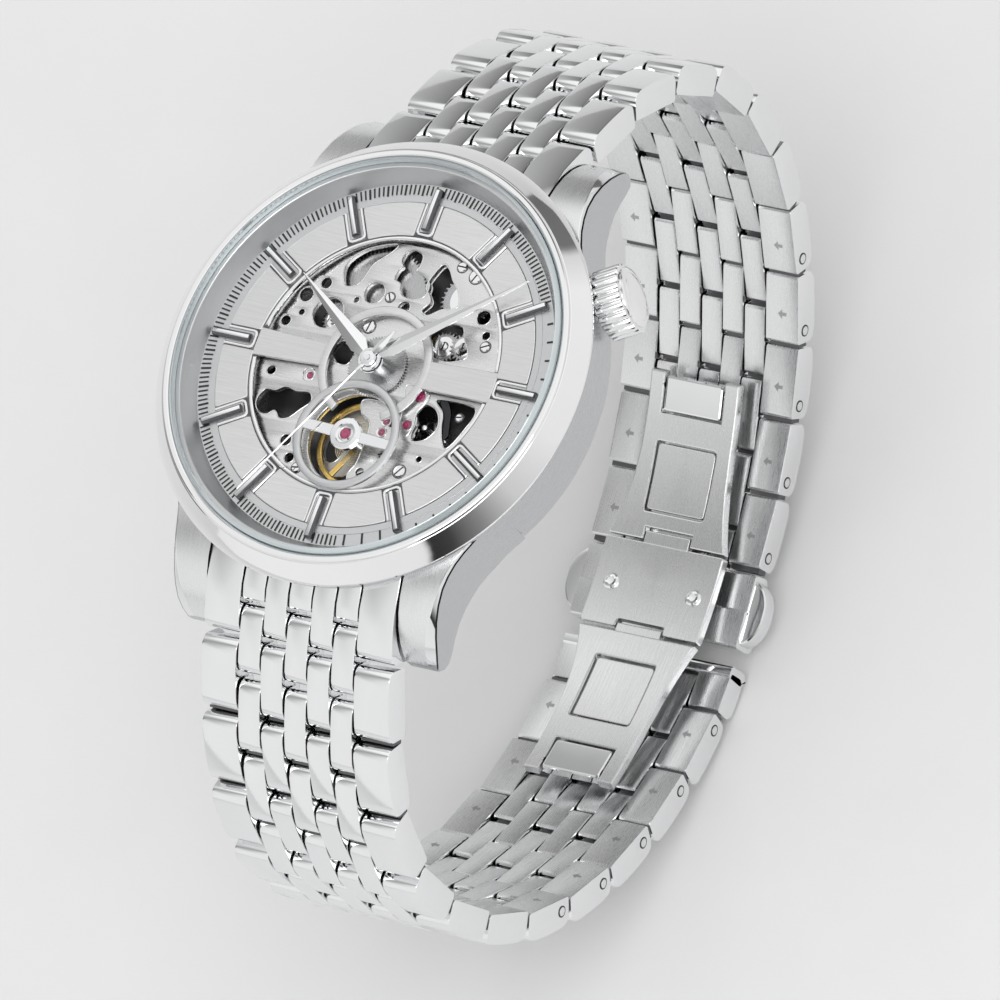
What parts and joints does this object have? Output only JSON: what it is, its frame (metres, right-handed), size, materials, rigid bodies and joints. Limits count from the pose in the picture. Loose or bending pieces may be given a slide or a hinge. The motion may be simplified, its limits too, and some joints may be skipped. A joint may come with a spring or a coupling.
{
  "type": "skeleton wristwatch",
  "caption": "Self-winding skeleton wristwatch with applied batons, an exposed balance and a steel bracelet closed into a loop by a folding clasp.",
  "frame": {"origin": "centre of the case back's flat outer face", "axes": "+Z out of the dial along the hands' arbors, +Y to 12 o'clock, +X to 3 o'clock"},
  "size_m": [0.0438, 0.0825, 0.0664],
  "materials": {
    "brushed_steel": "satin",
    "polished_steel": "polished",
    "dial_silver": "brushed silver",
    "movement_steel": "brushed",
    "gilt_brass": "gilded",
    "clear_glass": "polished"
  },
  "bodies": {
    "watch_head": {"case_middle": "brushed_steel", "bezel": "polished_steel", "crystal": "clear_glass", "case_back": "brushed_steel", "back_window": "clear_glass", "end_link_12": "brushed_steel", "end_link_6": "brushed_steel", "minute_ring": "dial_silver", "dial": "dial_silver", "movement_holder": "movement_steel", "main_plate": "movement_steel", "train_bridge": "movement_steel", "balance_bridge": "polished_steel"},
    "row_12_01": {"row_12_01": "polished_steel"},
    "row_12_02": {"row_12_02": "polished_steel"},
    "row_12_03": {"row_12_03": "polished_steel"},
    "row_12_04": {"row_12_04": "polished_steel"},
    "row_12_05": {"row_12_05": "polished_steel"},
    "row_12_06": {"row_12_06": "polished_steel"},
    "row_12_07": {"row_12_07": "polished_steel"},
    "row_12_08": {"row_12_08": "polished_steel"},
    "row_12_09": {"row_12_09": "polished_steel"},
    "row_12_10": {"row_12_10": "polished_steel"},
    "row_12_11": {"row_12_11": "polished_steel"},
    "clasp_cover": {"clasp_cover": "polished_steel", "clasp_tongue_12": "brushed_steel"},
    "row_6_01": {"row_6_01": "polished_steel"},
    "row_6_02": {"row_6_02": "polished_steel"},
    "row_6_03": {"row_6_03": "polished_steel"},
    "row_6_04": {"row_6_04": "polished_steel"},
    "row_6_05": {"row_6_05": "polished_steel"},
    "row_6_06": {"row_6_06": "polished_steel"},
    "row_6_07": {"row_6_07": "polished_steel"},
    "row_6_08": {"row_6_08": "polished_steel"},
    "row_6_09": {"row_6_09": "polished_steel"},
    "row_6_10": {"row_6_10": "polished_steel"},
    "row_6_11": {"row_6_11": "polished_steel"},
    "clasp_end": {"clasp_end_piece": "polished_steel", "clasp_tongue_6": "brushed_steel"},
    "clasp_frame_6": {"clasp_frame_6": "brushed_steel"},
    "clasp_frame_12": {"clasp_frame_12": "brushed_steel"},
    "clasp_centre": {"clasp_centre_plate": "brushed_steel"},
    "seconds": {"seconds_hand": "polished_steel", "fourth_wheel": "gilt_brass"},
    "minutes": {"minute_hand": "polished_steel", "cannon_pinion": "polished_steel"},
    "hours": {"hour_hand": "polished_steel", "hour_wheel": "movement_steel"},
    "third_wheel": {"third_wheel": "gilt_brass"},
    "escape_wheel": {"escape_wheel": "polished_steel"},
    "barrel": {"barrel": "movement_steel"},
    "pallet_fork": {"pallet_fork": "movement_steel"},
    "balance": {"balance_wheel": "gilt_brass", "hairspring": "gilt_brass"},
    "rotor": {"rotor": "movement_steel"},
    "setting_lever": {"setting_lever": "movement_steel"},
    "crown": {"crown": "polished_steel", "winding_stem": "polished_steel"}
  },
  "joints": [
    {"name": "row_12_01_hinge", "type": "hinge", "parent": "watch_head", "child": "row_12_01", "pos_m": [0, 0.0266, 0.0017], "axis": [1, 0, 0], "range_deg": [0, 3.7]},
    {"name": "row_12_02_hinge", "type": "hinge", "parent": "row_12_01", "child": "row_12_02", "pos_m": [0, 0.03245, -0.00239], "axis": [1, 0, 0], "range_deg": [0, 14.3]},
    {"name": "row_12_03_hinge", "type": "hinge", "parent": "row_12_02", "child": "row_12_03", "pos_m": [0, 0.03708, -0.00783], "axis": [1, 0, 0], "range_deg": [0, 17.2]},
    {"name": "row_12_04_hinge", "type": "hinge", "parent": "row_12_03", "child": "row_12_04", "pos_m": [0, 0.03986, -0.0144], "axis": [1, 0, 0], "range_deg": [0, 20.4]},
    {"name": "row_12_05_hinge", "type": "hinge", "parent": "row_12_04", "child": "row_12_05", "pos_m": [0, 0.04013, -0.02154], "axis": [1, 0, 0], "range_deg": [0, 15.3]},
    {"name": "row_12_06_hinge", "type": "hinge", "parent": "row_12_05", "child": "row_12_06", "pos_m": [0, 0.03846, -0.02848], "axis": [1, 0, 0], "range_deg": [0, 13.4]},
    {"name": "row_12_07_hinge", "type": "hinge", "parent": "row_12_06", "child": "row_12_07", "pos_m": [0, 0.03521, -0.03484], "axis": [1, 0, 0], "range_deg": [0, 12.2]},
    {"name": "row_12_08_hinge", "type": "hinge", "parent": "row_12_07", "child": "row_12_08", "pos_m": [0, 0.03066, -0.04034], "axis": [1, 0, 0], "range_deg": [0, 11]},
    {"name": "row_12_09_hinge", "type": "hinge", "parent": "row_12_08", "child": "row_12_09", "pos_m": [0, 0.02511, -0.04484], "axis": [1, 0, 0], "range_deg": [0, 10]},
    {"name": "row_12_10_hinge", "type": "hinge", "parent": "row_12_09", "child": "row_12_10", "pos_m": [0, 0.01885, -0.04827], "axis": [1, 0, 0], "range_deg": [0, 9.1]},
    {"name": "row_12_11_hinge", "type": "hinge", "parent": "row_12_10", "child": "row_12_11", "pos_m": [0, 0.01212, -0.05064], "axis": [1, 0, 0], "range_deg": [0, 8.6]},
    {"name": "clasp_cover_hinge", "type": "hinge", "parent": "row_12_11", "child": "clasp_cover", "pos_m": [0, 0.00509, -0.05193], "axis": [1, 0, 0], "range_deg": [-0.7, 2]},
    {"name": "row_6_01_hinge", "type": "hinge", "parent": "watch_head", "child": "row_6_01", "pos_m": [0, -0.0266, 0.0017], "axis": [-1, 0, 0], "range_deg": [0, 7.7]},
    {"name": "row_6_02_hinge", "type": "hinge", "parent": "row_6_01", "child": "row_6_02", "pos_m": [0, -0.03215, -0.00279], "axis": [-1, 0, 0], "range_deg": [0, 12.3]},
    {"name": "row_6_03_hinge", "type": "hinge", "parent": "row_6_02", "child": "row_6_03", "pos_m": [0, -0.03659, -0.00838], "axis": [-1, 0, 0], "range_deg": [0, 17.6]},
    {"name": "row_6_04_hinge", "type": "hinge", "parent": "row_6_03", "child": "row_6_04", "pos_m": [0, -0.0391, -0.01507], "axis": [-1, 0, 0], "range_deg": [0, 19.7]},
    {"name": "row_6_05_hinge", "type": "hinge", "parent": "row_6_04", "child": "row_6_05", "pos_m": [0, -0.03917, -0.02221], "axis": [-1, 0, 0], "range_deg": [0, 13.4]},
    {"name": "row_6_06_hinge", "type": "hinge", "parent": "row_6_05", "child": "row_6_06", "pos_m": [0, -0.03756, -0.02916], "axis": [-1, 0, 0], "range_deg": [0, 12]},
    {"name": "row_6_07_hinge", "type": "hinge", "parent": "row_6_06", "child": "row_6_07", "pos_m": [0, -0.03449, -0.03561], "axis": [-1, 0, 0], "range_deg": [0, 11.5]},
    {"name": "row_6_08_hinge", "type": "hinge", "parent": "row_6_07", "child": "row_6_08", "pos_m": [0, -0.03017, -0.0413], "axis": [-1, 0, 0], "range_deg": [0, 10.8]},
    {"name": "row_6_09_hinge", "type": "hinge", "parent": "row_6_08", "child": "row_6_09", "pos_m": [0, -0.02483, -0.04604], "axis": [-1, 0, 0], "range_deg": [0, 10.2]},
    {"name": "row_6_10_hinge", "type": "hinge", "parent": "row_6_09", "child": "row_6_10", "pos_m": [0, -0.01872, -0.04973], "axis": [-1, 0, 0], "range_deg": [0, 9.7]},
    {"name": "row_6_11_hinge", "type": "hinge", "parent": "row_6_10", "child": "row_6_11", "pos_m": [0, -0.01206, -0.05229], "axis": [-1, 0, 0], "range_deg": [0, 9.4]},
    {"name": "clasp_end_hinge", "type": "hinge", "parent": "row_6_11", "child": "clasp_end", "pos_m": [0, -0.00506, -0.05371], "axis": [-1, 0, 0], "range_deg": [-2.5, 1]},
    {"name": "clasp_frame_6_hinge", "type": "hinge", "parent": "clasp_end", "child": "clasp_frame_6", "pos_m": [0, -0.01605, -0.04729], "axis": [1, 0, 0], "range_deg": [0, 80]},
    {"name": "clasp_frame_12_hinge", "type": "hinge", "parent": "clasp_cover", "child": "clasp_frame_12", "pos_m": [0, 0.02033, -0.04391], "axis": [-1, 0, 0], "range_deg": [0, 80]},
    {"name": "clasp_centre_hinge", "type": "hinge", "parent": "clasp_frame_12", "child": "clasp_centre", "pos_m": [0, 0.00734, -0.04869], "axis": [-1, 0, 0], "range_deg": [0, 80]},
    {"name": "seconds_turn", "type": "hinge", "parent": "watch_head", "child": "seconds", "pos_m": [0, 0, 0.0086], "axis": [0, 0, 1], "continuous": true},
    {"name": "minutes_turn", "type": "hinge", "parent": "watch_head", "child": "minutes", "pos_m": [0, 0, 0.0086], "axis": [0, 0, 1], "continuous": true},
    {"name": "hours_turn", "type": "hinge", "parent": "watch_head", "child": "hours", "pos_m": [0, 0, 0.0086], "axis": [0, 0, 1], "continuous": true},
    {"name": "third_wheel_turn", "type": "hinge", "parent": "watch_head", "child": "third_wheel", "pos_m": [0.0039, 0.003, 0.0086], "axis": [0, 0, 1], "continuous": true},
    {"name": "escape_wheel_turn", "type": "hinge", "parent": "watch_head", "child": "escape_wheel", "pos_m": [0.0062, -0.0043, 0.0086], "axis": [0, 0, 1], "continuous": true},
    {"name": "barrel_turn", "type": "hinge", "parent": "watch_head", "child": "barrel", "pos_m": [-0.0032, 0.0065, 0.0086], "axis": [0, 0, 1], "continuous": true},
    {"name": "pallet_fork_turn", "type": "hinge", "parent": "watch_head", "child": "pallet_fork", "pos_m": [0.0046, -0.0056, 0.0086], "axis": [0, 0, 1], "range_deg": [-5, 5]},
    {"name": "balance_turn", "type": "hinge", "parent": "watch_head", "child": "balance", "pos_m": [0, -0.00695, 0.0086], "axis": [0, 0, 1], "range_deg": [-270, 270], "stiffness_Nm_per_rad": 0.000001},
    {"name": "rotor_turn", "type": "hinge", "parent": "watch_head", "child": "rotor", "pos_m": [0, 0, 0.0086], "axis": [0, 0, 1], "continuous": true},
    {"name": "crown_pull", "type": "slide", "parent": "watch_head", "child": "setting_lever", "axis": [0.866, 0.5, 0], "range_m": [0, 0.001]},
    {"name": "crown_turn", "type": "hinge", "parent": "setting_lever", "child": "crown", "pos_m": [0, 0, 0.0053], "axis": [0.866, 0.5, 0], "continuous": true}
  ],
  "couplings": [
    {"joint": "minutes_turn", "follows": "seconds_turn", "ratio": 0.016667},
    {"joint": "hours_turn", "follows": "seconds_turn", "ratio": 0.0013889},
    {"joint": "third_wheel_turn", "follows": "seconds_turn", "ratio": -0.125},
    {"joint": "escape_wheel_turn", "follows": "seconds_turn", "ratio": -10},
    {"joint": "barrel_turn", "follows": "seconds_turn", "ratio": -0.0020833}
  ]
}
